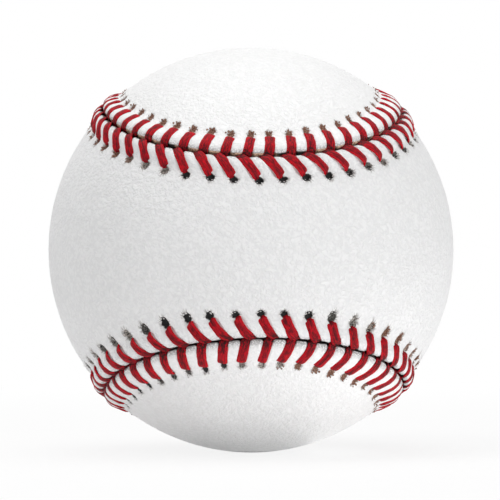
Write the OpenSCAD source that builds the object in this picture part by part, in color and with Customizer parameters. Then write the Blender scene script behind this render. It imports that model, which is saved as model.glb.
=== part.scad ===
// Baseball: a cushioned cork pill, four windings, two figure-eight leather panels
// and the thread that sews them together, edge to edge, in 108 raised double stitches.
// The origin is the middle of the ball. The waist of the side panel faces -Y, with its lobes
// round the +X and -X sides. The waist of the end panel faces +Y, with its lobes over the top and the foot.

/* [Ball] */
// Diameter over the leather, away from the seam
ball_d = 72.8; // [70:0.1:76]
// Thickness of the leather
leather_t = 1.3; // [1.1:0.05:1.5]
// Width of each panel at its waist, measured along the leather
waist_w = 31; // [28:0.5:34]
// Clearance between each layer and the next
layer_gap = 0.1; // [0.06:0.01:0.2]

/* [Seam] */
// Number of double stitches round the seam
stitch_count = 108; // [100:2:114]
// Distance from the middle of the seam to each row of holes
hole_row = 4.4; // [4.1:0.1:4.8]
// Distance along the seam from where a stitch leaves the gap to its hole
stitch_slant = 1.6; // [1.2:0.1:2]
// Height of the raised edge of a panel
ridge_h = 1; // [0.8:0.05:1.2]
// Radius with which the edge curls down into the gap
lip_r = 1.25; // [1.1:0.05:1.4]
// Width of the gap between the two panels
gap_w = 1.2; // [1.1:0.05:1.4]
// How far the leather swells between one stitch and the next
pillow_h = 0.28; // [0.1:0.02:0.36]
// Depth of the dimple at each hole
pucker_h = 0.7; // [0.5:0.05:0.8]

/* [Thread] */
// Width of the flattened thread
thread_w = 1.6; // [1.3:0.05:1.7]
// Thickness of the flattened thread
thread_t = 0.6; // [0.45:0.05:0.7]
// Clearance between the thread and the leather under it
seat_gap = 0.1; // [0.06:0.01:0.2]
// How far a stitch reaches down into its hole
thread_in = 0.25; // [0.15:0.05:0.35]

/* [Pill] */
// Diameter of the cork core
cork_d = 20.6; // [18:0.1:22]
// Thickness of the two black half shells round the cork
inner_cushion_t = 3.3; // [2.5:0.1:4]
// Thickness of the washer between the rims of the half shells
washer_t = 1.6; // [1:0.1:2.4]
// Thickness of the red shell that closes the pill
outer_cushion_t = 2.9; // [2:0.1:4]

/* [Windings] */
// Thickness of the second winding, of white wool
second_winding_t = 1.7; // [1.2:0.1:2.4]
// Thickness of the third winding, of grey wool
third_winding_t = 2.2; // [1.5:0.1:3]
// Thickness of the finishing winding, of fine white cotton
finishing_winding_t = 0.5; // [0.3:0.05:0.8]

/* [Hidden] */
$fn = 96;
leg_fn = 32;

// Radii of the layers: the pill grows outwards from the cork, the windings inwards from the leather,
// and the first winding fills what is left between them.
ball_r = ball_d / 2;
cork_r = cork_d / 2;
inner_cushion_r = cork_r + layer_gap + inner_cushion_t;
pill_r = inner_cushion_r + layer_gap + outer_cushion_t;
leather_in_r = ball_r - leather_t;
finishing_r = leather_in_r - layer_gap;
third_r = finishing_r - finishing_winding_t - layer_gap;
second_r = third_r - third_winding_t - layer_gap;
first_r = second_r - second_winding_t - layer_gap;

// The seam is one closed curve: two harmonics turned about Y, rising and falling twice along it.
lobe_share = 0.323;
waist_angle = waist_w / 2 / ball_r * 180 / PI;
seam_rise_share = (1 - 2 * lobe_share) / tan(waist_angle);
seam_steps = 720;

function unit(v) = v / norm(v);

// Direction from the middle of the ball to the seam, at turn angle a
function seam_dir(a) = unit([
    (1 - lobe_share) * sin(a) + lobe_share * sin(3 * a),
    -seam_rise_share * cos(2 * a),
    (1 - lobe_share) * cos(a) - lobe_share * cos(3 * a)
]);

seam_dirs = [for (i = [0:seam_steps]) seam_dir(360 * i / seam_steps)];
seam_run = [for (i = 0, s = 0; i <= seam_steps;
    s = s + (i < seam_steps ? ball_r * norm(seam_dirs[i + 1] - seam_dirs[i]) : 0), i = i + 1) s];
seam_l = seam_run[seam_steps];
seam_table = [for (i = [0:seam_steps]) [seam_run[i], 360 * i / seam_steps]];
pitch = seam_l / stitch_count;

// Turn angle at distance s along the seam
function seam_angle(s) = lookup(s - seam_l * floor(s / seam_l), seam_table);

// Direction to the point that lies at distance s along the seam and v beside it, towards the end panel
function beside_seam(s, v) =
    let (a = seam_angle(s), step = 180 / seam_steps, p = seam_dir(a),
         t = unit(seam_dir(a + step) - seam_dir(a - step)), w = v / ball_r * 180 / PI)
    unit(p * cos(w) + cross(p, t) * sin(w));

// A stitch leg has its own frame: u runs along the chord from the middle of the seam to its hole,
// w lies across it and z points out of the ball. It starts at distance s along the seam.
leg_l = norm([hole_row, stitch_slant]);

function leg_frame(s, side) =
    let (g = ball_r * beside_seam(s, 0), h = ball_r * beside_seam(s + stitch_slant, side * hole_row),
         u = unit(h - g), up = unit(g + h), z = unit(up - (up * u) * u))
    [g, u, cross(z, u), z];

function in_leg(f, u, w, z) = f[0] + f[1] * u + f[2] * w + f[3] * z;

// Profile of the raised edge in a leg's frame: a lip arc from the gap up to the crest, and a crown arc
// from the crest down to the hole. The middle of the thread follows both at the same distance, thread_off.
lip_angle = 60;
thread_off = seat_gap + thread_t / 2;
crest_u = gap_w / 2 + lip_r * sin(lip_angle);
crown_run = leg_l - crest_u;
crown_exact_r = (crown_run * crown_run + ridge_h * ridge_h - thread_off * thread_off) / 2 / (ridge_h + thread_off);
// Rounded, so that the two arcs of a leg meet face to face
places = 1000;
crown_r = round(crown_exact_r * places) / places;
crown_angle = acos((crown_r - ridge_h) / crown_r);

function lip(a) = [crest_u - lip_r * sin(a), ridge_h - lip_r * (1 - cos(a))];
function crown(a) = [crest_u + crown_r * sin(a), ridge_h - crown_r * (1 - cos(a))];

// Rows of points of a panel's outer face, from the edge to the far side of the holes, as [u, z].
// Between two stitches a row lies higher by its share of the pillow's height.
dimple_l = 0.9;
outer_rows = [
    lip(lip_angle), lip(lip_angle / 2), crown(0), crown(crown_angle / 2), crown(crown_angle),
    [leg_l, -pucker_h], [leg_l + dimple_l, 0]
];
pillow_shares = [0.2, 0.7, 1, 0.9, 0.4, 0.6, 0];
// The same for the inner face, from the edge to the field. It lifts off the winding under the crest.
field_rows = 5;
field_cell = 6.2;
facet_lift = leather_in_r * (1 / cos(field_cell / ball_r * 90 / PI) - 1);
inner_rows = [
    [gap_w / 2, lip(lip_angle)[1] - leather_t],
    [crest_u + leather_t / 4, ridge_h - leather_t],
    [leg_l, facet_lift - leather_t]
];
edge_u = leg_l + 2 * dimple_l;

// Direction to a point on a panel's spine, the great circle down the middle of its two lobes
spine_reach = 120;
function spine_dir(a, side) =
    let (b = spine_reach * sin(a))
    side < 0 ? [sin(b), -cos(b), 0] : [0, cos(b), -sin(b)];

// A panel is a chain of closed rings, from its spine out along the inner face, round the edge
// and back along the outer face to the spine. Rings near the edge have two points for each stitch,
// on the stitch and on the pillow beside it, and the others have one.
function ring_s(i, side) = pitch * i + (side < 0 ? 0 : seam_l / 4);

// The two legs of a stitch enter the gap one behind the other, half a pitch apart
function stitch_s(i, side) = ring_s(i, side) + (side < 0 ? 0 : pitch / 2);

function fine_ring(side, u, z, z_pillow) = [
    for (i = [0:stitch_count - 1], k = [0, 1])
        in_leg(leg_frame(stitch_s(i + k / 2, side), side), u, 0, k == 0 ? z : z_pillow)
];
function plain_ring(side, u, z) = [
    for (i = [0:stitch_count - 1]) in_leg(leg_frame(stitch_s(i, side), side), u, 0, z)
];
function field_ring(side, share, r) = [
    for (i = [0:stitch_count - 1])
        let (s = ring_s(i, side), e = unit(in_leg(leg_frame(s, side), edge_u, 0, 0)),
             q = spine_dir(seam_angle(s) - (side < 0 ? 0 : 90), side))
        r * unit(e * (1 - share) + q * share)
];

// The two sides of a panel meet along its spine, where point i of the last ring is also point fold(i)
function fold(i) =
    let (n = stitch_count, k = i % n)
    2 * k <= n ? min(k, n / 2 - k) : min(k, 3 * n / 2 - k);

function spine_band(a, b, n) = [
    for (i = [0:n - 1]) let (j = (i + 1) % n, p = b + fold(i), q = b + fold(j))
        each concat([[a + i, q, a + j]], p == q ? [] : [[a + i, p, q]])
];

// Faces between two neighbouring rings that start at points a and b and hold na and nb points
function band(a, na, b, nb) =
    na == nb ? [
        for (i = [0:na - 1]) let (j = (i + 1) % na)
            each [[a + i, b + i, b + j], [a + i, b + j, a + j]]
    ] : nb == 2 * na ? [
        for (i = [0:na - 1]) let (j = (i + 1) % na, m = b + 2 * i + 1, n = b + (2 * i + 2) % nb)
            each [[a + i, b + 2 * i, m], [a + i, m, a + j], [a + j, m, n]]
    ] : [
        for (i = [0:nb - 1]) let (j = (i + 1) % nb, m = a + 2 * i + 1, n = a + (2 * i + 2) % na)
            each [[a + 2 * i, b + i, m], [m, b + i, b + j], [m, b + j, n]]
    ];

module cover_panel(side) {
    n = stitch_count;
    inner_r = leather_in_r + facet_lift;
    rings = concat(
        [for (k = [field_rows:-1:0]) field_ring(side, k / field_rows, inner_r)],
        [for (k = [len(inner_rows) - 1:-1:0]) plain_ring(side, inner_rows[k][0], inner_rows[k][1])],
        [for (k = [0:len(outer_rows) - 1]) fine_ring(side, outer_rows[k][0], outer_rows[k][1],
            outer_rows[k][1] + pillow_h * pillow_shares[k])],
        [for (k = [0:field_rows]) field_ring(side, k / field_rows, ball_r)]
    );
    starts = [for (i = 0, at = 0; i < len(rings); at = at + len(rings[i]), i = i + 1) at];
    last = len(rings) - 1;
    faces = concat(
        [for (f = spine_band(starts[1], starts[0], n)) [f[2], f[1], f[0]]],
        [for (i = [1:last - 2]) each band(starts[i], len(rings[i]), starts[i + 1], len(rings[i + 1]))],
        spine_band(starts[last - 1], starts[last], n)
    );
    polyhedron(points = [for (r = rings) each r],
        faces = [for (f = faces) side > 0 ? f : [f[2], f[1], f[0]]], convexity = 10);
}

module leg_profile() {
    bow_r = (thread_w * thread_w + thread_t * thread_t) / 4 / thread_t;
    intersection() {
        translate([thread_t / 2 - bow_r, 0]) circle(bow_r, $fn = leg_fn);
        translate([bow_r - thread_t / 2, 0]) circle(bow_r, $fn = leg_fn);
    }
}

// One leg of a stitch: up out of the gap over the lip, and along the crown down into its hole
module stitch_leg() {
    crown_sweep = asin(crown_run / (crown_r + thread_off)) + thread_in / (crown_r + thread_off) * 180 / PI;
    lip_sweep = 70;
    translate([crest_u, 0, ridge_h - crown_r]) mirror([1, 0, 0]) rotate([90, 0, 0]) rotate([0, 0, 90])
        rotate_extrude(angle = crown_sweep, $fn = leg_fn) translate([crown_r + thread_off, 0]) leg_profile();
    translate([crest_u, 0, ridge_h - lip_r]) rotate([90, 0, 0]) rotate([0, 0, 90])
        rotate_extrude(angle = lip_sweep, $fn = leg_fn) translate([lip_r + thread_off, 0]) leg_profile();
}

module stitch_legs(side) {
    for (i = [0:stitch_count - 1]) {
        f = leg_frame(stitch_s(i, side), side);
        multmatrix([
            [f[1].x, f[2].x, f[3].x, f[0].x],
            [f[1].y, f[2].y, f[3].y, f[0].y],
            [f[1].z, f[2].z, f[3].z, f[0].z]
        ]) stitch_leg();
    }
}

module shell(r_out, r_in) {
    difference() {
        sphere(r_out);
        sphere(r_in);
    }
}

module cork_core() { color("burlywood") sphere(cork_r); }

// Half of the black shell round the cork, cut off flat where the washer lies
module cushion_half(side) {
    difference() {
        shell(inner_cushion_r, cork_r + layer_gap);
        translate([-inner_cushion_r, -inner_cushion_r, side > 0 ? washer_t / 2 - ball_d : -washer_t / 2])
            cube([2 * inner_cushion_r, 2 * inner_cushion_r, ball_d]);
    }
}

module inner_cushion_upper() { color([0.09, 0.09, 0.1]) cushion_half(1); }
module inner_cushion_lower() { color([0.09, 0.09, 0.1]) cushion_half(-1); }

module cushion_washer() {
    color("firebrick") intersection() {
        shell(inner_cushion_r, cork_r + layer_gap);
        translate([-inner_cushion_r, -inner_cushion_r, -washer_t / 2])
            cube([2 * inner_cushion_r, 2 * inner_cushion_r, washer_t]);
    }
}

module outer_cushion() { color("indianred") shell(pill_r, inner_cushion_r + layer_gap); }
module first_winding() { color("slategray") shell(first_r, pill_r + layer_gap); }
module second_winding() { color("ivory") shell(second_r, first_r + layer_gap); }
module third_winding() { color("lightslategray") shell(third_r, second_r + layer_gap); }
module finishing_winding() { color("white") shell(finishing_r, third_r + layer_gap); }
module cover_side_panel() { color([0.95, 0.94, 0.92]) cover_panel(-1); }
module cover_end_panel() { color([0.95, 0.94, 0.92]) cover_panel(1); }
module side_panel_stitches() { color([0.75, 0.1, 0.17]) stitch_legs(-1); }
module end_panel_stitches() { color([0.75, 0.1, 0.17]) stitch_legs(1); }

cork_core();
inner_cushion_upper();
inner_cushion_lower();
cushion_washer();
outer_cushion();
first_winding();
second_winding();
third_winding();
finishing_winding();
cover_side_panel();
cover_end_panel();
side_panel_stitches();
end_panel_stitches();
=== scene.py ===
# Baseball: two figure-eight leather panels, the red stitches that join them, and the pill and windings inside
import math
from functools import reduce

import bmesh
import bpy
import numpy as np
from mathutils import Matrix, Vector


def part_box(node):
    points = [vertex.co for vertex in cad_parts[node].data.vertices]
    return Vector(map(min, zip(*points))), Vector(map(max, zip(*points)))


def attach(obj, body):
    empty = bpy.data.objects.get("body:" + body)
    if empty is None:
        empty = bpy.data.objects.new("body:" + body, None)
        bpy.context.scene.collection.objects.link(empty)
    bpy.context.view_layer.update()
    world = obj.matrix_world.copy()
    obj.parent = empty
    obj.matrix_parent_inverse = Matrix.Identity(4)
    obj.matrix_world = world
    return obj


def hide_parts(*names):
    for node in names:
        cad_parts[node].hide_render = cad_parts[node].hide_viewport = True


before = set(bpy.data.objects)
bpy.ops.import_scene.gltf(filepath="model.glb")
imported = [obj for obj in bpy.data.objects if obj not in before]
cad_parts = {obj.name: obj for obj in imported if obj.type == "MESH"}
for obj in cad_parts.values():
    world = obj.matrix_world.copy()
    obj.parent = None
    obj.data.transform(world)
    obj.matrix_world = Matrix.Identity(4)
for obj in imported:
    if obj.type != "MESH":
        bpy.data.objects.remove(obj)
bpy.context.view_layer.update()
mm = 0.001
scene = bpy.context.scene

# Everything that follows the seam is worked out in millimetres from these sizes
ball = {
    "diameter": 72.8,   # over the leather, away from the seam
    "waist": 31.0,   # width of a panel at its waist, along the leather
    "lobeShare": 0.323,   # share of the seam's second harmonic
    "stitches": 108,   # legs in each row
    "seamSteps": 7200,   # steps in the table of lengths along the seam
    "seed": 7,
}
ballRadius = ball["diameter"] / 2
turn = 2 * math.pi
sides = {"side": -1, "end": 1}   # the end panel lies to the left of someone who walks along the seam


def unit(v):
    return v / np.linalg.norm(v, axis=-1, keepdims=True)


def seamDirection(angle):   # two harmonics turned about Y, rising and falling twice
    share = ball["lobeShare"]
    rise = (1 - 2 * share) / math.tan(ball["waist"] / 2 / ballRadius)
    return unit(np.stack([
        (1 - share) * np.sin(angle) + share * np.sin(3 * angle),
        -rise * np.cos(2 * angle),
        (1 - share) * np.cos(angle) - share * np.cos(3 * angle),
    ], axis=-1))


tableAngles = np.linspace(0, turn, ball["seamSteps"] + 1)
tableSteps = np.linalg.norm(np.diff(seamDirection(tableAngles), axis=0), axis=1) * ballRadius
tableRun = np.concatenate([[0], np.cumsum(tableSteps)])
seamLength = tableRun[-1]
pitch = seamLength / ball["stitches"]
print(f"seam {seamLength:.1f} mm round, {pitch:.3f} mm from stitch to stitch")


def seamAngle(run):
    return np.interp(np.mod(run, seamLength), tableRun, tableAngles)


def seamAxes(run):   # direction to the seam at this length, and across it towards the end panel
    angle = seamAngle(run)
    step = 0.001
    point = seamDirection(angle)
    along = unit(seamDirection(angle + step) - seamDirection(angle - step))
    return point, np.cross(point, along)


def besideSeam(run, reach):   # direction to a point this far across the seam
    point, across = seamAxes(run)
    angle = np.asarray(reach)[..., None] / ballRadius
    return point * np.cos(angle) + across * np.sin(angle)


# Where each row of stitches has its holes, in mm. The spacing of hand sewing opens and closes round the ball,
# so a list is a mean and its shares with the cosine, the sine and the doubled sine of the way round.
rows = {
    "side": {
        "run": [1.63, 1.48, -0.43, 0.68], "slant": [2.28, 0.4, 0.0, 0.6], "hole": [3.45, 0.0, 0.0, 0.2],
        "bow": 0.06, "tail": 0.75, "holeSide": 0.0, "holeDepth": 0.8, "tear": 0.55},
    "end": {
        "run": [1.03, 0.93, -0.48, 1.25], "slant": [1.07, -0.3, 0.3, 0.85], "hole": [4.3, -0.42, 0.7, 0.0],
        "bow": -0.06, "tail": 0.0, "holeSide": -0.2, "holeDepth": 0.3, "tear": 0.1},
}
# How far a leg strays at most: three lengths in mm, then two shares, of its width and of the painted light in
# its hole
strays = {"along": 0.16, "across": 0.16, "gap": 0.16, "width": 0.09, "holeLight": 0.15}


def makeStrays(side):
    random = np.random.default_rng(ball["seed"] + sides[side])
    return {name: random.uniform(-size, size, ball["stitches"]) for name, size in strays.items()}


strayOf = {side: makeStrays(side) for side in sides}


def between(values, index):   # a value for each stitch, eased from one stitch to the next
    low = np.floor(index).astype(int)
    share = index - low
    share = share * share * (3 - 2 * share)
    return values[low % len(values)] * (1 - share) + values[(low + 1) % len(values)] * share


def roundTheSeam(side, name, index):
    angle = turn * index / ball["stitches"]
    mean, cosine, sine, doubled = rows[side][name]
    return mean + cosine * np.cos(angle) + sine * np.sin(angle) + doubled * np.sin(2 * angle)


def holeRun(side, index):
    return index * pitch + roundTheSeam(side, "run", index) + between(strayOf[side]["along"], index)


def gapRun(side, index):
    return (index * pitch + roundTheSeam(side, "run", index) - roundTheSeam(side, "slant", index)
            + between(strayOf[side]["gap"], index))


def holeReach(side, index):
    return roundTheSeam(side, "hole", index) + between(strayOf[side]["across"], index)


def legEnd(side, index):   # direction to a leg's hole
    return besideSeam(holeRun(side, index), holeReach(side, index) * sides[side])


def legLean(side, index):
    return np.arctan(roundTheSeam(side, "slant", index) / holeReach(side, index))


def holeTone(side, index):   # painted light in a hole, by where it lies on the ball and faces the light: 0 for a black hole in shade, 1 for a lit brown one
    right, _, high = legEnd(side, index).T   # where the hole lies on the ball, from -1 to 1
    if side == "side":
        holeLight = np.maximum(np.interp(-right * np.sign(high), [0.25, 0.5, 0.65], [0, 0.5, 0.8]),
                          np.interp(np.abs(right), [0.35, 0.6], [0, 0.3]))
    else:
        holeLight = np.interp(high, [-0.3, 0.3], [0, 1]) - np.interp(np.abs(right), [0.5, 0.75], [0, 0.4])
        holeLight = np.maximum(holeLight, np.interp(right, [-0.15, 0.2], [0.12, 0.85]))
    return np.clip(holeLight + between(strayOf[side]["holeLight"], index), 0, 1)


def holeStretch(side, index):   # the needle has torn the holes low on the side panel longer
    right, _, high = legEnd(side, index).T
    low = np.interp(high, [-0.2, 0.2], [1, 0.25])
    return 1 + rows[side]["tear"] * low * np.interp(np.abs(right), [0.15, 0.32], [0, 1])


def columnRun(side, index, reach):   # follows a leg, bent as it is, from the gap to a little past its hole
    row = rows[side]
    share = np.minimum(reach / holeReach(side, index), relief["followed"])
    start = gapRun(side, index)
    bend = row["bow"] * np.sin(math.pi * np.minimum(share, 1)) - row["tail"] * np.maximum(1 - share, 0) ** 3
    return start + (holeRun(side, index) - start) * share - bend * sides[side]


def pastLeg(side, index, past):   # direction to a point this far past the end of a leg
    reach = holeReach(side, index) + past
    run = columnRun(side, index, reach) + rows[side]["holeSide"] / np.cos(legLean(side, index))
    return besideSeam(run, reach * sides[side])


def holePast(stretch):   # a stretched hole keeps its near end by the thread
    return relief["holePast"] + relief["tornPast"] * relief["holeLong"] * (stretch - 1)


# Small helpers that write nodes
def join(tree, value, socket):
    if isinstance(value, bpy.types.NodeSocket):
        tree.links.new(value, socket)
    else:
        socket.default_value = value


def fill(tree, values, sockets):
    for value, socket in zip(values, sockets):
        join(tree, value, socket)


def node(tree, kind, outlet=0, settings=None, **inputs):   # i2 is the socket with the number 2
    made = tree.nodes.new(kind)
    for name, value in (settings or {}).items():
        setattr(made, name, value)
    for name, value in inputs.items():
        key = int(name[1:]) if name[1:].isdigit() else name.replace("_", " ")
        join(tree, value, made.inputs[key])
    return made.outputs[outlet]


def calc(tree, operation, *values):
    made = tree.nodes.new("ShaderNodeMath")
    made.operation = operation
    fill(tree, values, made.inputs)
    return made.outputs[0]


def times(tree, *values):
    return reduce(lambda a, b: calc(tree, "MULTIPLY", a, b), values)


def plus(tree, a, b):
    return calc(tree, "ADD", a, b)


def minus(tree, a, b):
    return calc(tree, "SUBTRACT", a, b)


def timesPlus(tree, a, b, c):
    return calc(tree, "MULTIPLY_ADD", a, b, c)


def calcVector(tree, operation, *values):
    made = tree.nodes.new("ShaderNodeVectorMath")
    made.operation = operation
    fill(tree, values, made.inputs)
    return made.outputs["Value" if operation in ("LENGTH", "DOT_PRODUCT") else "Vector"]


def scaled(tree, value, factor):
    return node(tree, "ShaderNodeVectorMath", 0, {"operation": "SCALE"}, Vector=value, Scale=factor)


def vector(tree, x, y, z=0.0):
    return node(tree, "ShaderNodeCombineXYZ", X=x, Y=y, Z=z)


def ease(tree, value, low, high, toLow=0.0, toHigh=1.0):
    made = tree.nodes.new("ShaderNodeMapRange")
    made.interpolation_type = "SMOOTHSTEP"
    fill(tree, (value, low, high, toLow, toHigh), made.inputs)
    return made.outputs[0]


def drawCurve(tree, value, points):
    made = tree.nodes.new("ShaderNodeFloatCurve")
    curve = made.mapping.curves[0]
    low = min(p[1] for p in points)
    span = max(p[1] for p in points) - low
    while len(curve.points) < len(points):
        curve.points.new(0.5, 0.5)
    for place, (x, y) in zip(curve.points, points):
        place.location = (x, (y - low) / span)
        place.handle_type = "AUTO"
    made.mapping.update()
    join(tree, value, made.inputs["Value"])
    return timesPlus(tree, made.outputs[0], span, low)


def newTree(name, kind, inputs, outputs):   # each input comes with its default, or else with its kind
    tree = bpy.data.node_groups.new(name, kind)
    for label, value in inputs.items():
        socket = value if isinstance(value, str) else {float: "Float", int: "Int"}[type(value)]
        made = tree.interface.new_socket(label, in_out="INPUT", socket_type="NodeSocket" + socket)
        if socket != value:
            made.default_value = value
    for label, socket in outputs.items():
        tree.interface.new_socket(label, in_out="OUTPUT", socket_type="NodeSocket" + socket)
    return tree, tree.nodes.new("NodeGroupInput").outputs, tree.nodes.new("NodeGroupOutput").inputs


def placeGroup(tree, group, **inputs):   # a shared group as one node of this tree
    made = tree.nodes.new(tree.bl_idname.replace("NodeTree", "NodeGroup"))
    made.node_tree = group
    for name, value in inputs.items():
        join(tree, value, made.inputs[name])
    return made.outputs


def noise(tree, place, scale, detail=2.0, roughness=0.5, outlet=0):
    return node(tree, "ShaderNodeTexNoise", outlet, Vector=place, Scale=scale, Detail=detail,
                Roughness=roughness)


def stir(tree, place, scale, strength):   # moves a pattern's places about by up to this many mm
    return calcVector(tree, "ADD", place, scaled(tree, noise(tree, place, scale, 2.0, 0.5, 1), strength * mm))


def named(tree, name, kind="FLOAT"):
    return node(tree, "GeometryNodeInputNamedAttribute", 0, {"data_type": kind}, Name=name)


def store(tree, geometry, name, value, domain="POINT"):
    return node(tree, "GeometryNodeStoreNamedAttribute", 0, {"data_type": "FLOAT", "domain": domain},
                Geometry=geometry, Name=name, Value=value)


def facing(tree, first, primary, second, secondary):
    return node(tree, "FunctionNodeAxesToRotation", 0, {"primary_axis": first, "secondary_axis": second},
                Primary_Axis=primary, Secondary_Axis=secondary)


def scatter(tree, points, choices, count, seed, kind, size):   # one of the choices on each point of a guide
    choice = node(tree, "FunctionNodeRandomValue", 2, {"data_type": "INT"}, i4=0, i5=count - 1, Seed=seed)
    turned = facing(tree, "X", named(tree, kind + "Along", "FLOAT_VECTOR"),
                    "Z", named(tree, kind + "Up", "FLOAT_VECTOR"))
    return node(tree, "GeometryNodeInstanceOnPoints", Points=points, Instance=choices, Pick_Instance=True,
                Instance_Index=choice, Rotation=turned, Scale=size)


def finishTree(tree, geometry, material, result):   # from millimetres to metres, and one plain mesh
    geometry = node(tree, "GeometryNodeTransform", Geometry=geometry, Scale=(mm, mm, mm))
    geometry = node(tree, "GeometryNodeRealizeInstances", Geometry=geometry)
    geometry = node(tree, "GeometryNodeSetMaterial", Geometry=geometry, Material=material)
    join(tree, geometry, result["Geometry"])


def makeGuide(name, points, faces, values):   # a mesh that carries numbers or directions for a tree
    mesh = bpy.data.meshes.new(name)
    mesh.from_pydata(points.tolist(), [], faces)
    for label, numbers in values.items():
        kind, key = ("FLOAT", "value") if np.ndim(numbers) == 1 else ("FLOAT_VECTOR", "vector")
        mesh.attributes.new(label, kind, "POINT").data.foreach_set(key, np.float32(numbers).ravel())
    return mesh


def grow(name, guide, tree, values):   # runs a tree on a guide mesh and keeps the result as a plain mesh
    holder = bpy.data.objects.new(name + "Guide", guide)
    scene.collection.objects.link(holder)
    modifier = holder.modifiers.new("grow", "NODES")
    modifier.node_group = tree
    for item in tree.interface.items_tree:
        if item.in_out == "INPUT" and item.name in values:
            modifier[item.identifier] = values[item.name]
    depsgraph = bpy.context.evaluated_depsgraph_get()
    mesh = bpy.data.meshes.new_from_object(holder.evaluated_get(depsgraph), depsgraph=depsgraph)
    holder.modifiers.remove(modifier)
    bpy.data.objects.remove(holder)
    bpy.data.meshes.remove(guide)
    mesh.name = name
    mesh.shade_smooth()
    piece = bpy.data.objects.new(name, mesh)
    scene.collection.objects.link(piece)
    print(f"{name}: {len(mesh.vertices)} points, {len(mesh.polygons)} faces")
    return piece


# Materials
def newMaterial(name, roughness, specular=0.5):
    material = bpy.data.materials.new(name)
    material.use_nodes = True
    shader = material.node_tree.nodes["Principled BSDF"]
    shader.inputs["Roughness"].default_value = roughness
    shader.inputs["Specular IOR Level"].default_value = specular
    return material, material.node_tree, shader


def coat(tree, shader, colour, height, depth, strength=1.0):   # depth of the fine relief in mm
    join(tree, colour, shader.inputs["Base Color"])
    bump = node(tree, "ShaderNodeBump", Strength=strength, Distance=depth * mm, Height=height)
    join(tree, bump, shader.inputs["Normal"])


def objectPlace(tree):
    return node(tree, "ShaderNodeTexCoord", "Object")


def attribute(tree, name):
    return node(tree, "ShaderNodeAttribute", 2, {"attribute_name": name})


def mixColour(tree, share, first, second):
    made = tree.nodes.new("ShaderNodeMix")
    made.data_type = "RGBA"
    join(tree, share, made.inputs["Factor"])
    for value, socket in ((first, made.inputs[6]), (second, made.inputs[7])):
        join(tree, value if isinstance(value, bpy.types.NodeSocket) else (*value, 1), socket)
    return made.outputs[2]


def makeGrainGroup():   # fine pebbles with creases between them, as on tanned hide
    tree, given, result = newTree(
        "hideGrain", "ShaderNodeTree", {"Vector": "Vector", "Pebble": 0.5, "Crease": 6.0},
        {"Height": "Float", "Tone": "Float"})
    perMetre = calc(tree, "DIVIDE", 1 / mm, given["Pebble"])
    stirred = stir(tree, given["Vector"], 700.0, 0.5)
    cells = node(tree, "ShaderNodeTexVoronoi", 0, {"feature": "SMOOTH_F1"}, Vector=stirred, Scale=perMetre)
    pebbles = ease(tree, cells, 0.1, 0.75, 1.0, 0.0)
    ripple = noise(tree, stirred, times(tree, perMetre, 0.9))
    ripple = ease(tree, calc(tree, "ABSOLUTE", minus(tree, ripple, 0.5)), 0.0, 0.13)
    folds = noise(tree, given["Vector"], calc(tree, "DIVIDE", 1 / mm, given["Crease"]), 4.0, 0.6)
    height = plus(tree, times(tree, pebbles, 0.5), times(tree, ripple, 0.5))
    join(tree, plus(tree, height, times(tree, folds, 0.35)), result["Height"])
    join(tree, plus(tree, times(tree, folds, 0.3), times(tree, height, 0.7)), result["Tone"])
    return tree


grainGroup = makeGrainGroup()

leatherLook = {
    "light": {"side": (0.9, 0.9, 0.902), "end": (0.95, 0.95, 0.95)},
    "shade": {"side": (0.84, 0.84, 0.845), "end": (0.9, 0.9, 0.9)},
    # The raw edge in the gap: tan on the end panel where it is lit, while the side panel's dark brown and the
    # near-black are painted shade in the gap
    "cutEdge": {"side": (0.12, 0.08, 0.06), "end": (0.92, 0.62, 0.43)},
    "shadedCutEdge": (0.012, 0.009, 0.008),
    # Inside a hole: near-black painted shade, grey painted light where light falls in, and the brown and tan
    # of the torn leather in a lit hole
    "holeShade": (0.006, 0.005, 0.005),
    "brownHole": (0.17, 0.065, 0.038),
    "tanHole": (0.38, 0.23, 0.155),
    "litGreyHole": (0.56, 0.52, 0.47),
    "frayLight": (0.93, 0.93, 0.92),
    "frayDark": (0.36, 0.34, 0.33),
    # painted shade with soil: grey on the lips where they curl down into the gap
    "shadeAndSoil": (0.42, 0.41, 0.41),
    "pebble": 0.72,   # mm
    "crease": 2.2,   # mm
    "bump": 0.13,   # mm
    "roughness": 0.55,
    "crumbs": 3600.0,   # to the metre, as are the next two
    "patches": 260.0,   # where the cut edge shows tan, between patches of painted shade
    "drift": 330.0,   # how fast the torn edge changes from hole to hole
    "rawEdge": (0.178, 0.208),   # where on the row the cut edge ends
}


def seamColour(tree, side, place, crumbs, colour):   # painted shade with soil on the lips by the gap, and the raw edge in the gap, painted black in its shade
    look = leatherLook
    row = attribute(tree, "seamRow")   # 0 in the gap, 1 on the plain ball, and 2 where there is no seam
    # painted shade with soil: grey speckles on the lips next to the gap, where they curl down into it
    shadeAndSoil = times(tree, ease(tree, row, 0.2, 0.42, 0.95, 0.0), ease(tree, crumbs, 0.38, 0.58))
    colour = mixColour(tree, shadeAndSoil, colour, look["shadeAndSoil"])
    # painted shade: low on the ball the raw edge is black, and higher up it is tan only between black patches
    high = ease(tree, node(tree, "ShaderNodeSeparateXYZ", "Z", Vector=place), -4 * mm, 6 * mm)
    raw = timesPlus(tree, high, -0.047, timesPlus(tree, crumbs, 0.04, row))
    raw = ease(tree, raw, *look["rawEdge"], 1.0, 0.0)
    litEdge = times(tree, high, ease(tree, noise(tree, place, look["patches"], 1.0), 0.36, 0.5),
                  ease(tree, crumbs, 0.35, 0.6, 0.35, 1.0))
    return mixColour(tree, raw, colour, mixColour(tree, litEdge, look["shadedCutEdge"], look["cutEdge"][side]))


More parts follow.
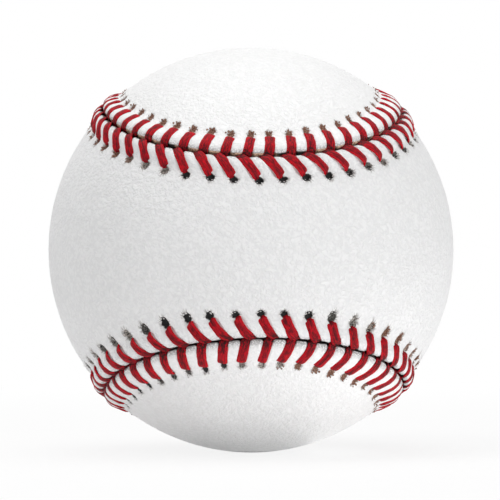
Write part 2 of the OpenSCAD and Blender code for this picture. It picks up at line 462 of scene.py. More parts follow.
def holeColour(tree, place, crumbs, colour):   # an edge that runs in and out, with pale fibres round it, and inside it painted shade or painted light
    look = leatherLook
    along, beside, off, holeLight = (attribute(tree, "hole" + name) for name in ("Along", "Beside", "Off", "Tone"))
    heading = calcVector(tree, "NORMALIZE", vector(tree, along, beside))
    drift = scaled(tree, place, look["drift"])
    rays, fibres = (noise(tree, calcVector(tree, "ADD", scaled(tree, heading, count), drift), 1.0, 1.0)
                    for count in (1.7, 5.0))
    rim = timesPlus(tree, rays, timesPlus(tree, holeLight, 0.9, 0.5), timesPlus(tree, holeLight, -0.3, 0.72))
    past = minus(tree, calcVector(tree, "LENGTH", vector(tree, along, off)), calc(tree, "MINIMUM", rim, 1.4))
    fray = times(tree, ease(tree, past, 0.1, 0.75, 1.0, 0.0), ease(tree, along, -0.9, -0.1), 0.75)
    frayed = mixColour(tree, ease(tree, fibres, 0.47, 0.56), look["frayLight"], look["frayDark"])
    torn = mixColour(tree, ease(tree, crumbs, 0.45, 0.65), look["brownHole"], look["tanHole"])
    # painted light: grey where light falls into a hole and near-black painted shade where it doesn't, with
    # brown torn leather in the lit holes
    litGrey = mixColour(tree, ease(tree, crumbs, 0.35, 0.6), look["holeShade"], look["litGreyHole"])
    deep = mixColour(tree, ease(tree, holeLight, 0.1, 0.5), look["holeShade"], litGrey)
    return mixColour(tree, ease(tree, past, -0.1, 0.1, 1.0, 0.0), mixColour(tree, fray, colour, frayed),
                     mixColour(tree, ease(tree, holeLight, 0.5, 0.8), deep, torn))


def makeLeather(side):
    look = leatherLook
    material, tree, shader = newMaterial(side + "Leather", look["roughness"])
    place = objectPlace(tree)
    grain = placeGroup(tree, grainGroup, Vector=place, Pebble=look["pebble"], Crease=look["crease"])
    crumbs = noise(tree, place, look["crumbs"], 2.0, 0.6)
    hide = mixColour(tree, ease(tree, grain["Tone"], 0.25, 0.75), look["shade"][side], look["light"][side])
    colour = holeColour(tree, place, crumbs, seamColour(tree, side, place, crumbs, hide))
    coat(tree, shader, colour, grain["Height"], look["bump"])
    return material


threadLook = {
    "bright": (0.58, 0.004, 0.014),
    # deep red for the mottled core and for the painted shade at the foot
    "deep": (0.105, 0.004, 0.009),
    "darkSpecks": (0.018, 0.008, 0.008),
    "roughness": 0.65,
    "specular": 0.15,
    "bump": 0.06,   # mm
    # How often each pattern changes along the thread, across it and from leg to leg, and its detail
    "streaks": (3.0, 9.0, 50.0, 3.0),
    "patches": (7.0, 2.5, 91.0, 3.0),
    "specks": (15.0, 3.2, 37.0, 2.0),
}


def makeThread():
    look = threadLook
    material, tree, shader = newMaterial("thread", look["roughness"], look["specular"])
    across, along, seed = (attribute(tree, name) for name in ("threadAcross", "threadAlong", "legSeed"))

    def mottle(name):
        *rates, detail = look[name]
        place = vector(tree, *(times(tree, value, rate) for value, rate in zip((along, across, seed), rates)))
        return noise(tree, place, 1.0, detail, 0.6)

    streaks, patches, specks = mottle("streaks"), mottle("patches"), mottle("specks")
    core = ease(tree, calc(tree, "ABSOLUTE", across), 0.25, 0.95, 1.0, 0.0)
    dark = times(tree, core, ease(tree, plus(tree, streaks, patches), 0.82, 1.12))
    # painted shade: the thread turns deep red in mottled patches towards its foot, where it dives into the
    # gap
    foot = times(tree, ease(tree, along, 0.15, 0.5, 1.0, 0.0), ease(tree, patches, 0.35, 0.6, 0.25, 1.0))
    colour = mixColour(tree, calc(tree, "MAXIMUM", dark, foot), look["bright"], look["deep"])
    # near-black specks, thickest at the foot by the gap
    darkSpecks = times(tree, ease(tree, specks, 0.47, 0.55), ease(tree, along, 0.3, 0.6, 0.95, 0.3))
    coat(tree, shader, mixColour(tree, darkSpecks, colour, look["darkSpecks"]), streaks, look["bump"], 0.8)
    return material


leather = {side: makeLeather(side) for side in sides}
thread = makeThread()
print("leather and thread mixed")

# The leather beside the seam, in mm. Each curve runs from the cut edge in the gap, over the raised lip, past
# the holes and down to the plain ball. Reach is counted from the middle of the seam, and rise is the height.
relief = {
    "rows": 40,
    "betweenReach": [
        (0, 0.5), (0.04, 0.3), (0.08, 0.15), (0.12, 0.12), (0.16, 0.17), (0.2, 0.29), (0.25, 0.49),
        (0.3, 0.75), (0.36, 1.11), (0.42, 1.55), (0.48, 2.05), (0.6, 3.1), (0.72, 4.1), (0.84, 5.1),
        (0.92, 6.1), (1, 8.5)],
    "betweenRise": [
        (0, -1.0), (0.04, -0.7), (0.08, -0.35), (0.12, 0.07), (0.16, 0.42), (0.2, 0.7), (0.25, 0.92),
        (0.3, 1.06), (0.36, 1.15), (0.42, 1.17), (0.48, 1.11), (0.6, 0.7), (0.72, 0.22), (0.78, 0.1),
        (0.84, 0.05), (0.92, 0.01), (1, 0)],
    "underReach": [
        (0, 0.66), (0.08, 0.62), (0.16, 0.64), (0.2, 0.72), (0.25, 0.88), (0.3, 1.08), (0.36, 1.36),
        (0.42, 1.7), (0.48, 2.12), (0.6, 3.1), (0.72, 4.1), (0.84, 5.1), (0.92, 6.1), (1, 8.5)],
    "underRise": [
        (0, -1.0), (0.08, -0.38), (0.12, -0.05), (0.16, 0.25), (0.2, 0.47), (0.25, 0.65), (0.3, 0.76),
        (0.36, 0.83), (0.42, 0.84), (0.48, 0.77), (0.6, 0.37), (0.66, 0.13), (0.72, -0.05), (0.78, -0.1),
        (0.84, -0.04), (0.92, 0), (1, 0)],
    "holeReach": 4.1,   # where the curves above have the end of a leg
    "followsHoles": [(0.8, 3.8, 5.2, 8.5), (0, 1, 1, 0)],   # how far a point there moves with its hole
    "followed": 1.08,   # share of a leg's reach over which the columns of the mesh follow it
    "grooveFlat": 0.58,   # half the width over which the leather lies flat under a leg
    "grooveEnd": 1.05,   # where the swelling between two legs is whole
    "holeLong": 0.68,   # half of its length and of its width
    "holeWide": 0.55,
    "holePast": 0.58,   # how far the middle of a hole lies past the end of its leg
    "tornPast": 0.9,   # share of a torn hole's extra half length by which its middle moves on
    "rimRise": 0.14,
    "wrinkle": 0.2,
    "edgeWander": 0.35,
}
# The columns of the mesh round each leg, as shares of the way to the next one
phases = np.array([
    -0.5, -0.4, -0.32, -0.26, -0.2, -0.15, -0.1, -0.05, 0, 0.05, 0.1, 0.15, 0.2, 0.26, 0.32, 0.4])


def makeReliefTree():
    tree, given, result = newTree("coverRelief", "GeometryNodeTree", {
        "Geometry": "Geometry", "Ball Radius": ballRadius, "Swell": 1.0, "Hole Depth": 1.0, "Hole Side": 0.0,
        "Wrinkle": relief["wrinkle"], "Material": "Material"}, {"Geometry": "Geometry"})
    row = named(tree, "rowShare")
    offLeg = named(tree, "offLeg")
    position = node(tree, "GeometryNodeInputPosition")
    wander = minus(tree, noise(tree, position, 0.55, 3.0, 0.55), 0.5)
    fine = minus(tree, noise(tree, position, 2.6), 0.5)
    swell = timesPlus(tree, wander, 0.25, calc(tree, "ABSOLUTE", offLeg))
    swell = times(tree, ease(tree, swell, relief["grooveFlat"], relief["grooveEnd"]), given["Swell"])

    def blend(name):   # from the curve under a leg to the curve between two legs
        return node(tree, "ShaderNodeMix", Factor=swell, i2=drawCurve(tree, row, relief["under" + name]),
                    i3=drawCurve(tree, row, relief["between" + name]))

    onRidge = times(tree, ease(tree, row, 0.15, 0.35), ease(tree, row, 0.85, 1.0, 1.0, 0.0))
    rise = timesPlus(tree, times(tree, wander, given["Wrinkle"]), onRidge, blend("Rise"))
    ragged = times(tree, ease(tree, row, 0.2, 0.45, 1.0, 0.0), relief["edgeWander"])
    reach = timesPlus(tree, wander, ragged, blend("Reach"))
    # The hole, an oval pit just past the end of the leg, with a ragged edge
    longWay = calc(tree, "DIVIDE", minus(tree, reach, named(tree, "holeMiddle")), named(tree, "holeLong"))
    sideWay = calc(tree, "DIVIDE", minus(tree, offLeg, given["Hole Side"]), relief["holeWide"])
    wideWay = calc(tree, "ABSOLUTE", sideWay)
    away = timesPlus(tree, fine, 0.5, calcVector(tree, "LENGTH", vector(tree, longWay, wideWay)))
    pit = ease(tree, away, 0.6, 1.1, 1.0, 0.0)
    rim = times(tree, ease(tree, away, 1.0, 1.25), ease(tree, away, 1.3, 2.1, 1.0, 0.0),
                ease(tree, longWay, 0.1, 0.8), timesPlus(tree, fine, 3.0, 0.5))
    rise = minus(tree, rise, times(tree, pit, given["Hole Depth"]))
    rise = timesPlus(tree, rim, relief["rimRise"], rise)
    angle = calc(tree, "DIVIDE", plus(tree, reach, named(tree, "holeShift")), given["Ball Radius"])
    place = calcVector(
        tree, "ADD", scaled(tree, named(tree, "seamPoint", "FLOAT_VECTOR"), calc(tree, "COSINE", angle)),
        scaled(tree, named(tree, "seamAcross", "FLOAT_VECTOR"), calc(tree, "SINE", angle)))
    place = scaled(tree, place, plus(tree, given["Ball Radius"], rise))
    inRelief = calc(tree, "GREATER_THAN", row, -0.5)
    geometry = given["Geometry"]
    # What the leather's colours read, and the value that each has away from the seam
    for name, value, faraway in (("holeAlong", longWay, 9.0), ("holeBeside", sideWay, 9.0),
                                 ("holeOff", wideWay, 9.0), ("seamRow", row, 2.0)):
        value = timesPlus(tree, value, inRelief, timesPlus(tree, inRelief, -faraway, faraway))
        geometry = store(tree, geometry, name, value)
    geometry = node(tree, "GeometryNodeSetPosition", Geometry=geometry, Selection=inRelief, Position=place)
    finishTree(tree, geometry, given["Material"], result)
    return tree


# The rest of a panel is drawn in rings, from the seam to the spine down the middle of its two lobes
field = {
    "rings": 14,
    "columns": 4,   # to a stitch
    "leather": 1.3,   # mm
    "seamReach": 8.5,   # mm from the middle of the seam to the first ring
    "spineReach": 120,   # degrees from the waist to the end of the spine
    "weld": 0.004,   # mm between points that become one
    "sliver": 0.001,   # mm, the shortest edge
}
# The back of the leather beside the seam, in mm
inside = {"reach": [0.75, 1.6, 2.4, 3.1, 8.5], "rise": [-1.05, -0.3, -0.45, -1.3, -1.3]}


def spineDirection(side, index):   # mirrored about the end of each lobe
    angle = seamAngle(index * pitch)
    still = np.zeros_like(angle)
    reach = math.radians(field["spineReach"]) * (np.sin(angle) if side == "side" else np.cos(angle))
    if side == "side":
        return np.stack([np.sin(reach), -np.cos(reach), still], axis=-1)
    return np.stack([still, np.cos(reach), np.sin(reach)], axis=-1)


def ringFaces(rings):   # joins rings, also where one has several times the points of the next
    faces = []
    for (first, count), (second, nextCount) in zip(rings, rings[1:]):
        low = min(count, nextCount)
        step = max(count, nextCount) // low
        i = np.arange(low)
        j = (i + 1) % low
        if step == 1:
            faces += np.stack([first + i, second + i, second + j, first + j], axis=1).tolist()
            continue
        widens = nextCount > count
        wide, narrow = (second, first) if widens else (first, second)
        middle = step // 2
        for k in i:
            fan = [wide + (k * step + n) % (low * step) for n in range(step + 1)]
            left, right = narrow + k, narrow + (k + 1) % low
            fans = [[left if n < middle else right, fan[n], fan[n + 1]] for n in range(step)]
            fans.append([left, fan[middle], right])
            faces += fans if widens else [f[::-1] for f in fans]
    return faces


def makeCoverGuide(side):
    sign = sides[side]
    fine = (np.arange(ball["stitches"])[:, None] + phases).ravel()
    coarse = fine[::len(phases) // field["columns"]]
    blank = dict.fromkeys(["rowShare", "offLeg", "holeShift", "holeMiddle", "holeLong", "holeTone"], -1.0)
    blank.update(dict.fromkeys(["seamPoint", "seamAcross"], (0, 0, 0)))
    values = {name: [] for name in blank}
    points, rings = [], []

    def addRing(places, **known):
        rings.append((sum(len(p) for p in points), len(places)))
        points.append(places)
        for name, empty in blank.items():
            values[name].append(np.broadcast_to(known.get(name, empty), (len(places), *np.shape(empty))))

    def coarseRing(reach):
        reach = np.full(len(coarse), reach)
        return besideSeam(columnRun(side, coarse, reach), reach * sign)

    edge = coarseRing(field["seamReach"])
    spine = spineDirection(side, coarse)

    def fieldRing(share, radius):
        addRing(unit(edge * (1 - share) + spine * share) * radius)

    for k in range(field["rings"], 0, -1):
        fieldRing(k / field["rings"], ballRadius - field["leather"])
    for reach, rise in list(zip(inside["reach"], inside["rise"]))[::-1]:
        addRing(coarseRing(reach) * (ballRadius + rise))
    stretch = holeStretch(side, fine)
    perColumn = {
        "offLeg": (fine - np.round(fine)) * pitch * np.cos(legLean(side, fine)),
        "holeMiddle": relief["holeReach"] + holePast(stretch),
        "holeLong": relief["holeLong"] * stretch,
        "holeTone": holeTone(side, fine),
    }
    for share in np.linspace(0, 1, relief["rows"]):
        reach = np.interp(share, *zip(*relief["underReach"]))
        follows = np.interp(reach, *relief["followsHoles"])
        shift = follows * (holeReach(side, fine) - relief["holeReach"])
        run = columnRun(side, fine, reach + shift)
        point, across = seamAxes(run)
        addRing(besideSeam(run, (reach + shift) * sign) * ballRadius, rowShare=share, holeShift=shift,
                seamPoint=point, seamAcross=across * sign, **perColumn)
    for k in range(1, field["rings"] + 1):
        fieldRing(k / field["rings"], ballRadius)
    return makeGuide(side + "CoverGuide", np.concatenate(points), ringFaces(rings),
                     {name: np.concatenate(parts) for name, parts in values.items()})


def closeSpine(piece):   # the two halves of the last rings meet along the spine, outside and inside
    mesh = bmesh.new()
    mesh.from_mesh(piece.data)
    bmesh.ops.remove_doubles(mesh, verts=mesh.verts, dist=field["weld"] * mm)
    bmesh.ops.dissolve_degenerate(mesh, edges=mesh.edges, dist=field["sliver"] * mm)
    bmesh.ops.recalc_face_normals(mesh, faces=mesh.faces)
    openEdges = sum(not e.is_manifold for e in mesh.edges)
    if mesh.calc_volume(signed=True) < 0:
        bmesh.ops.reverse_faces(mesh, faces=mesh.faces)
    print(f"{piece.name}: {openEdges} edges that aren't closed, {mesh.calc_volume() / mm ** 3:.0f} mm3")
    mesh.to_mesh(piece.data)
    mesh.free()


def makeCovers():
    tree = makeReliefTree()
    for side in sides:
        cover = grow(side + "PanelLeather", makeCoverGuide(side), tree, {
            "Material": leather[side], "Hole Depth": rows[side]["holeDepth"],
            "Hole Side": rows[side]["holeSide"]})
        closeSpine(cover)
        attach(cover, "root")
        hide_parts(f"cover_{side}_panel")


# One leg of a stitch, along X from the gap to its hole, in mm. The curves give the middle of the thread.
leg = {
    "length": 4.75,
    "width": 1.7,
    "thickness": 0.45,
    "points": 14,
    "reach": [(0, 0), (0.1, 0), (0.2, 0.025), (0.3, 0.085), (0.4, 0.19), (0.5, 0.32), (0.6, 0.465),
              (0.7, 0.62), (0.8, 0.785), (0.9, 0.93), (1, 1.0)],
    "rise": [(0, -0.6), (0.1, -0.12), (0.2, 0.3), (0.3, 0.68), (0.4, 0.95), (0.5, 1.09), (0.6, 1.07),
             (0.7, 0.87), (0.8, 0.62), (0.88, 0.38), (0.95, 0.05), (1, -0.5)],
    "girth": [(0, 0.75), (0.15, 0.85), (0.3, 0.97), (0.5, 1.03), (0.72, 1.05), (0.82, 1.0),
              (0.9, 0.9), (0.95, 0.72), (1, 0.4)],
    "variants": 6,
    # How far the variants differ: as a factor, in mm, in radians and in mm
    "spread": {"wider": (0.94, 1.06), "bowed": (-0.07, 0.07), "twist": (-0.3, 0.3), "lift": (-0.04, 0.06)},
}


def makeLegTree():
    tree, given, result = newTree("stitchLeg", "GeometryNodeTree", {
        "Length": leg["length"], "Width": leg["width"], "Thickness": leg["thickness"], "Bow": 0.0,
        "Twist": 0.0, "Lift": 0.0}, {"Mesh": "Geometry"})
    line = node(tree, "GeometryNodeCurvePrimitiveLine")
    line = node(tree, "GeometryNodeResampleCurve", Curve=line, Count=leg["points"])
    share = node(tree, "GeometryNodeSplineParameter")
    reach = drawCurve(tree, share, leg["reach"])
    arch = calc(tree, "SINE", times(tree, reach, math.pi))
    place = vector(tree, times(tree, reach, given["Length"]), times(tree, arch, given["Bow"]),
                   timesPlus(tree, arch, given["Lift"], drawCurve(tree, share, leg["rise"])))
    line = store(tree, line, "threadAlong", share)
    line = store(tree, line, "legReach", reach)
    line = node(tree, "GeometryNodeSetPosition", Geometry=line, Position=place)
    girth = drawCurve(tree, share, leg["girth"])
    line = node(tree, "GeometryNodeSetCurveRadius", Curve=line, Radius=girth)
    tilt = times(tree, given["Twist"], minus(tree, share, 0.5))
    line = node(tree, "GeometryNodeSetCurveTilt", Curve=line, Tilt=tilt)
    ring = node(tree, "GeometryNodeCurvePrimitiveCircle", Resolution=8, Radius=1.0)
    across = node(tree, "ShaderNodeSeparateXYZ", "Y", Vector=node(tree, "GeometryNodeInputPosition"))
    ring = store(tree, ring, "threadAcross", across)
    size = vector(tree, times(tree, given["Thickness"], 0.5), times(tree, given["Width"], 0.5), 1.0)
    ring = node(tree, "GeometryNodeTransform", Geometry=ring, Scale=size)
    mesh = node(tree, "GeometryNodeCurveToMesh", Curve=line, Profile_Curve=ring, Fill_Caps=True)
    join(tree, mesh, result["Mesh"])
    return tree


def makeStitchTree(legTree):
    tree, given, result = newTree("stitchRow", "GeometryNodeTree", {
        "Geometry": "Geometry", "Width": leg["width"], "Thickness": leg["thickness"], "Bow": 0.2,
        "Seed": ball["seed"], "Material": "Material"}, {"Geometry": "Geometry"})
    choices = tree.nodes.new("GeometryNodeGeometryToInstance")
    random = np.random.default_rng(ball["seed"])
    for _ in range(leg["variants"]):
        wider, bowed, twist, lift = (float(random.uniform(*span)) for span in leg["spread"].values())
        made = placeGroup(tree, legTree, Width=times(tree, given["Width"], wider),
                          Thickness=given["Thickness"], Bow=plus(tree, given["Bow"], bowed), Twist=twist,
                          Lift=lift)
        join(tree, made["Mesh"], choices.inputs[0])
    size = vector(tree, named(tree, "legScale"), named(tree, "legWidth"), 1.0)
    placed = scatter(tree, given["Geometry"], choices.outputs[0], leg["variants"], given["Seed"], "leg", size)
    placed = store(tree, placed, "legSeed", node(tree, "FunctionNodeRandomValue", 1), "INSTANCE")
    geometry = node(tree, "GeometryNodeRealizeInstances", Geometry=placed)
    left = calc(tree, "POWER", minus(tree, 1.0, named(tree, "legReach")), 3.0)
    trail = scaled(tree, named(tree, "legTail", "FLOAT_VECTOR"), left)
    geometry = node(tree, "GeometryNodeSetPosition", Geometry=geometry, Offset=trail)
    finishTree(tree, geometry, given["Material"], result)
    return tree


def makeStitchGuide(side):
    index = np.arange(ball["stitches"])
    start = besideSeam(gapRun(side, index), np.zeros(len(index))) * ballRadius
    end = legEnd(side, index) * ballRadius
    point, across = seamAxes(gapRun(side, index))
    tail = np.cross(across, point) * rows[side]["tail"] * sides[side]   # a leg's foot trails along the seam
    return makeGuide(side + "StitchGuide", start, [], {
        "legAlong": unit(end - start),
        "legUp": unit(start + end),
        "legTail": tail,
        "legScale": np.linalg.norm(end - start, axis=1) / leg["length"],
        "legWidth": 1 + strayOf[side]["width"],
    })


def makeStitches():
    tree = makeStitchTree(makeLegTree())
    for side in sides:
        row = grow(side + "PanelStitches", makeStitchGuide(side), tree, {
            "Material": thread, "Bow": rows[side]["bow"]})
        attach(row, "root")
        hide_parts(f"{side}_panel_stitches")


# Flakes of torn leather stand round the far side of each hole
burr = {
    "flakes": 7,   # in a full ring, of which those beside the thread are left out
    "rings": 5,   # different rings to choose from
    "length": 0.3,
    "width": 0.5,
    "thickness": 0.07,
    "curl": 0.22,
    # Lowest and highest: a flake's place and lean along X, Y and Z, and its size
    "place": [(-0.1, 0.1), (-0.1, 0.1), (-0.06, 0.02)],
    "lean": [(0.3, 1.3), (-0.3, 0.3), (0.1, 0.8)],
    "size": (0.5, 1.15),
    "fibres": 4200.0,   # to the metre
    "bump": 0.03,   # mm
    "white": (0.90, 0.90, 0.89),
    "grey": (0.50, 0.48, 0.46),
}


def makeBurrMaterial():
    material, tree, shader = newMaterial("tornLeather", 0.8)
    fibres = noise(tree, objectPlace(tree), burr["fibres"], 2.0, 0.6)
    pale = mixColour(tree, ease(tree, fibres, 0.42, 0.6), burr["white"], burr["grey"])
    brown = mixColour(tree, ease(tree, fibres, 0.4, 0.62), leatherLook["tanHole"], leatherLook["brownHole"])
    # the flakes turn brown with the painted light of their hole, and pale round a black hole in shade
    colour = mixColour(tree, ease(tree, attribute(tree, "burrHoleLight"), 0.3, 0.6), pale, brown)
    coat(tree, shader, colour, fibres, burr["bump"], 0.6)
    return material


def makeFlakeTree():
    tree, given, result = newTree("burrFlake", "GeometryNodeTree", {
        "Length": burr["length"], "Width": burr["width"], "Thickness": burr["thickness"],
        "Curl": burr["curl"]}, {"Mesh": "Geometry"})
    cone = node(tree, "GeometryNodeMeshCone", Vertices=4, Side_Segments=3, Radius_Top=0.2,
                Radius_Bottom=0.5, Depth=1.0)
    position = node(tree, "GeometryNodeInputPosition")
    x, y, z = (node(tree, "ShaderNodeSeparateXYZ", axis, Vector=position) for axis in "XYZ")
    bend = times(tree, calc(tree, "POWER", z, 2.0), given["Curl"])
    place = vector(tree, times(tree, x, given["Width"]), timesPlus(tree, y, given["Thickness"], bend),
                   times(tree, z, given["Length"]))
    join(tree, node(tree, "GeometryNodeSetPosition", Geometry=cone, Position=place), result["Mesh"])
    return tree


def makeBurrTree(flakeTree):
    tree, given, result = newTree("holeBurrs", "GeometryNodeTree", {
        "Geometry": "Geometry", "Flakes": burr["flakes"], "Long": relief["holeLong"],
        "Wide": relief["holeWide"], "Length": burr["length"], "Seed": ball["seed"],
        "Material": "Material"}, {"Geometry": "Geometry"})

    def luck(span, offset):
        seed = plus(tree, given["Seed"], float(offset))
        return node(tree, "FunctionNodeRandomValue", 1, i2=span[0], i3=span[1], Seed=seed)

    def threeLucks(spans, offset):
        return vector(tree, *(luck(span, offset + n) for n, span in enumerate(spans)))

    flake = placeGroup(tree, flakeTree, Length=given["Length"])["Mesh"]
    choices = tree.nodes.new("GeometryNodeGeometryToInstance")
    for k in range(burr["rings"]):
        ring = node(tree, "GeometryNodeMeshCircle", Vertices=given["Flakes"], Radius=1.0)
        ring = node(tree, "GeometryNodeTransform", Geometry=ring, Rotation=(0, 0, 0.5 * k),
                    Scale=vector(tree, given["Long"], given["Wide"], 1.0))
        moved = threeLucks(burr["place"], 10 * k + 1)
        ring = node(tree, "GeometryNodeSetPosition", Geometry=ring, Offset=moved)
        outward = calcVector(tree, "NORMALIZE", node(tree, "GeometryNodeInputPosition"))
        heading = calcVector(tree, "ADD", outward, threeLucks(burr["lean"], 10 * k + 4))
        farSide = calc(tree, "GREATER_THAN", node(tree, "ShaderNodeSeparateXYZ", Vector=outward), 0.1)
        placed = node(tree, "GeometryNodeInstanceOnPoints", Points=ring, Selection=farSide, Instance=flake,
                      Rotation=facing(tree, "Z", heading, "Y", (0, 0, 1)),
                      Scale=luck(burr["size"], 10 * k + 7))
        join(tree, node(tree, "GeometryNodeRealizeInstances", Geometry=placed), choices.inputs[0])
    size = vector(tree, named(tree, "burrStretch"), 1.0, 1.0)
    placed = scatter(tree, given["Geometry"], choices.outputs[0], burr["rings"], given["Seed"], "burr", size)
    finishTree(tree, placed, given["Material"], result)
    return tree


def makeBurrGuide(side):
    index = np.arange(ball["stitches"])
    stretch = holeStretch(side, index)
    step = 0.2   # mm
    place = pastLeg(side, index, holePast(stretch))
    beyond = pastLeg(side, index, holePast(stretch) + step)
    return makeGuide(side + "BurrGuide", place * ballRadius, [], {
        "burrAlong": unit(beyond - place), "burrUp": place, "burrHoleLight": holeTone(side, index),
        "burrStretch": stretch})


def makeBurrs():
    tree = makeBurrTree(makeFlakeTree())
    material = makeBurrMaterial()
    for side in sides:
        flakes = grow(side + "PanelBurrs", makeBurrGuide(side), tree, {
            "Material": material, "Seed": ball["seed"] + sides[side]})
        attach(flakes, "root")


# The layers inside keep their CAD shapes and get materials of their own
yarns = {   # strand and patch in mm, then the colours of the strands and of the painted shade in the furrows between them
    "greyWool": [1.1, 9.0, (0.40, 0.43, 0.47), (0.16, 0.18, 0.21)],
    "whiteWool": [0.9, 8.0, (0.84, 0.81, 0.74), (0.50, 0.46, 0.40)],
    "cotton": [0.45, 7.0, (0.89, 0.87, 0.81), (0.60, 0.56, 0.48)],
}
moulded = {   # colour, roughness and bump in mm
    "blackRubber": [(0.03, 0.03, 0.035), 0.7, 0.05],
    "redRubber": [(0.5, 0.1, 0.08), 0.6, 0.05],
}
cork = {
    "granule": 1.3,   # mm
    "bump": 0.1,   # mm
    "roughness": 0.85,
    "light": (0.66, 0.47, 0.29),
    "dark": (0.38, 0.24, 0.13),
    "binder": (0.12, 0.07, 0.04),
}
insideLayers = {
    "cork_core": "cork",
    "inner_cushion_upper": "blackRubber",
    "inner_cushion_lower": "blackRubber",
    "cushion_washer": "redRubber",
    "outer_cushion": "redRubber",
    "first_winding": "greyWool",
    "second_winding": "whiteWool",
    "third_winding": "greyWool",
    "finishing_winding": "cotton",
}


def makeYarnGroup():   # patches of side by side strands, each patch wound in a direction of its own
    tree, given, result = newTree(
        "woundYarn", "ShaderNodeTree", {"Vector": "Vector", "Strand": 1.0, "Patch": 8.0},
        {"Height": "Float", "Tone": "Float"})
    stirred = stir(tree, given["Vector"], 300.0, 0.6)
    patch = node(tree, "ShaderNodeTexVoronoi", 1, Vector=stirred,
                 Scale=calc(tree, "DIVIDE", 1 / mm, given["Patch"]))
    axis = calcVector(tree, "NORMALIZE", calcVector(tree, "SUBTRACT", patch, (0.5, 0.5, 0.5)))
    across = calc(tree, "DIVIDE", calcVector(tree, "DOT_PRODUCT", stirred, axis), given["Strand"])
    wave = calc(tree, "ABSOLUTE", calc(tree, "SINE", times(tree, across, math.pi / mm)))
    fuzz = noise(tree, given["Vector"], 3500.0, 3.0, 0.6)
    join(tree, timesPlus(tree, fuzz, 0.3, wave), result["Height"])
    join(tree, timesPlus(tree, minus(tree, fuzz, 0.5), 0.5, wave), result["Tone"])
    return tree


def makeYarn(name, yarnGroup):
    strand, patch, light, dark = yarns[name]
    material, tree, shader = newMaterial(name, 0.9, 0.1)
    yarn = placeGroup(tree, yarnGroup, Vector=objectPlace(tree), Strand=strand, Patch=patch)
    # painted shade in the furrows between strands, darker than the strands
    colour = mixColour(tree, ease(tree, yarn["Tone"], 0.1, 0.6), dark, light)
    coat(tree, shader, colour, yarn["Height"], 0.3 * strand)
    return material


def makeMoulded(name):
    colour, roughness, depth = moulded[name]
    material, tree, shader = newMaterial(name, roughness)
    cloud = noise(tree, objectPlace(tree), 900.0, 4.0, 0.6)
    pale = tuple(min(1.0, c * 1.4 + 0.01) for c in colour)
    coat(tree, shader, mixColour(tree, ease(tree, cloud, 0.4, 0.7), colour, pale), cloud, depth, 0.6)
    return material


def makeCork():
    material, tree, shader = newMaterial("cork", cork["roughness"])
    granule = {"Vector": objectPlace(tree), "Scale": 1 / (cork["granule"] * mm)}
    tint = calcVector(tree, "LENGTH", node(tree, "ShaderNodeTexVoronoi", 1, **granule))
    edge = node(tree, "ShaderNodeTexVoronoi", 0, {"feature": "DISTANCE_TO_EDGE"}, **granule)
    body = mixColour(tree, ease(tree, tint, 0.5, 1.3), cork["dark"], cork["light"])
    colour = mixColour(tree, ease(tree, edge, 0.02, 0.1), cork["binder"], body)
    coat(tree, shader, colour, ease(tree, edge, 0.0, 0.2), cork["bump"], 0.8)
    return material


def dressInside():
    yarnGroup = makeYarnGroup()
    made = {name: makeYarn(name, yarnGroup) for name in yarns}
    made.update({name: makeMoulded(name) for name in moulded})
    made["cork"] = makeCork()
    for name, finish in insideLayers.items():
        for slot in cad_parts[name].material_slots:
            slot.material = made[finish]
    print(f"{len(insideLayers)} layers inside dressed with {len(made)} materials")


# The camera stands level in front of the ball, which is turned a little in its picture
shot = {
    "turns": {"Y": -0.32, "X": -0.8, "Z": 2.99},   # degrees that the ball is turned by, seen from the camera
    "away": 12.5,   # distance in ball radii
    "edge": 202.5,   # the ball's radius in the picture, and its middle, in pixels
    "middle": (251.0, 250.0),
    "frame": 500,
    "film": 36,   # mm
}


def makeCamera():
    turned = Matrix.Identity(3)
    for axis, degrees in shot["turns"].items():
        turned = turned @ Matrix.Rotation(math.radians(degrees), 3, axis)
    right, ahead, up = turned   # its rows, since the camera turns the other way
    place = -ahead * shot["away"] * ballRadius * mm
    data = bpy.data.cameras.new("camera")
    camera = bpy.data.objects.new("camera", data)
    scene.collection.objects.link(camera)
    camera.matrix_world = Matrix.Translation(place) @ Matrix((right, up, -ahead)).transposed().to_4x4()
    focal = shot["edge"] * math.sqrt(shot["away"] ** 2 - 1)
    data.sensor_width = shot["film"]
    data.lens = focal * data.sensor_width / shot["frame"]
    data.shift_x = (shot["frame"] / 2 - shot["middle"][0]) / shot["frame"]
    data.shift_y = (shot["middle"][1] - shot["frame"] / 2) / shot["frame"]
    data.clip_start, data.clip_end = 0.01, 20
    scene.camera = camera
    print("camera placed")


skyLight = 0.16   # how strongly the white background lights the ball
lamps = {   # place, target, size and watts
    "topSoftbox": [(0.0, -0.05, 0.9), (0, 0, 0), 0.8, 5.8],
    "leftTopSoftbox": [(-0.5, -0.3, 0.7), (0, 0, 0), 0.5, 2.25],
    "lowRightCard": [(0.45, -0.5, 0.04), (0, 0, 0), 0.15, 1.15],
    "lightTable": [(0.045, -0.075, -0.0362), (0.045, -0.075, 1), 0.3, 0.026],
    "lightTableRight": [(0.11, -0.065, -0.0358), (0.11, -0.065, 1), 0.2, 0.032],
}


def addLamp(name, place, target, size, watts):
    data = bpy.data.lights.new(name, "AREA")
    data.size = size
    data.energy = watts
    lamp = bpy.data.objects.new(name, data)
    scene.collection.objects.link(lamp)
    lamp.location = place
    lamp.visible_camera = False
    lamp.rotation_mode = "QUATERNION"
    lamp.rotation_quaternion = (Vector(target) - Vector(place)).to_track_quat("-Z", "Y")


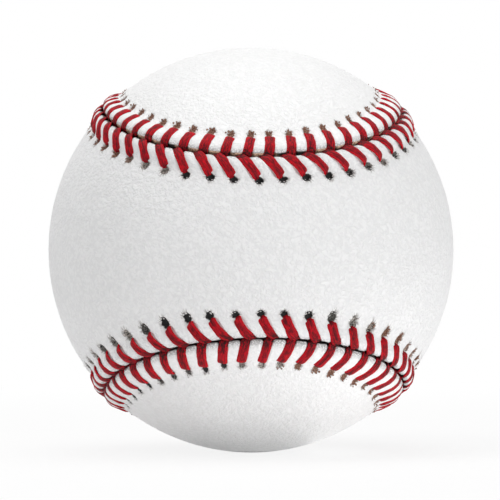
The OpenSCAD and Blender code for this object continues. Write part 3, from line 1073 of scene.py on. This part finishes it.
def seenByEye(tree):   # 1 for the camera's rays, straight or by something shiny or clear
    path = tree.nodes.new("ShaderNodeLightPath").outputs
    indirect = calc(tree, "MAXIMUM", path["Is Glossy Ray"], path["Is Transmission Ray"])
    return calc(tree, "MAXIMUM", path["Is Camera Ray"], indirect)


def makeLight():
    world = bpy.data.worlds.new("studio")
    scene.world = world
    world.use_nodes = True
    tree = world.node_tree
    back = tree.nodes["Background"]
    join(tree, timesPlus(tree, seenByEye(tree), 1 - skyLight, skyLight), back.inputs["Strength"])
    back.inputs["Color"].default_value = (1, 1, 1, 1)
    for name, settings in lamps.items():
        addLamp(name, *settings)
    print(f"{len(lamps)} lamps placed")


floorLook = {
    "half": 3.0,   # metres
    "roughness": 0.9,
    "specular": 0.1,
    "speckle": 40.0,   # to the metre
    "dark": (0.93, 0.93, 0.93),
    "light": (0.96, 0.96, 0.96),
    "shadow": 0.15,
    "shadowEnds": (0.06, 0.3),   # metres from the middle, where the shadow fades
}


def makeFloor():
    look = floorLook
    lowest = min(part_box(name)[0].z for name in ("cover_side_panel", "cover_end_panel"))
    half = look["half"]
    corners = [(x * half, y * half, lowest) for x, y in ((-1, -1), (1, -1), (1, 1), (-1, 1))]
    mesh = bpy.data.meshes.new("floor")
    mesh.from_pydata(corners, [], [(0, 1, 2, 3)])
    floor = bpy.data.objects.new("floor", mesh)
    scene.collection.objects.link(floor)
    material, tree, shader = newMaterial("paleFloor", look["roughness"], look["specular"])
    place = objectPlace(tree)
    speckle = noise(tree, place, look["speckle"], 3.0, 0.6)
    join(tree, mixColour(tree, speckle, look["dark"], look["light"]), shader.inputs["Base Color"])
    shadow = ease(tree, calcVector(tree, "LENGTH", place), *look["shadowEnds"], look["shadow"], 0.0)
    both = node(tree, "ShaderNodeMixShader", i0=times(tree, seenByEye(tree), minus(tree, 1.0, shadow)),
                i1=shader.outputs[0], i2=node(tree, "ShaderNodeEmission"))
    join(tree, both, tree.nodes["Material Output"].inputs["Surface"])
    mesh.materials.append(material)
    print("floor laid")


scene.view_settings.view_transform = "Standard"
makeCamera()
makeLight()
makeFloor()
makeCovers()
makeStitches()
makeBurrs()
dressInside()
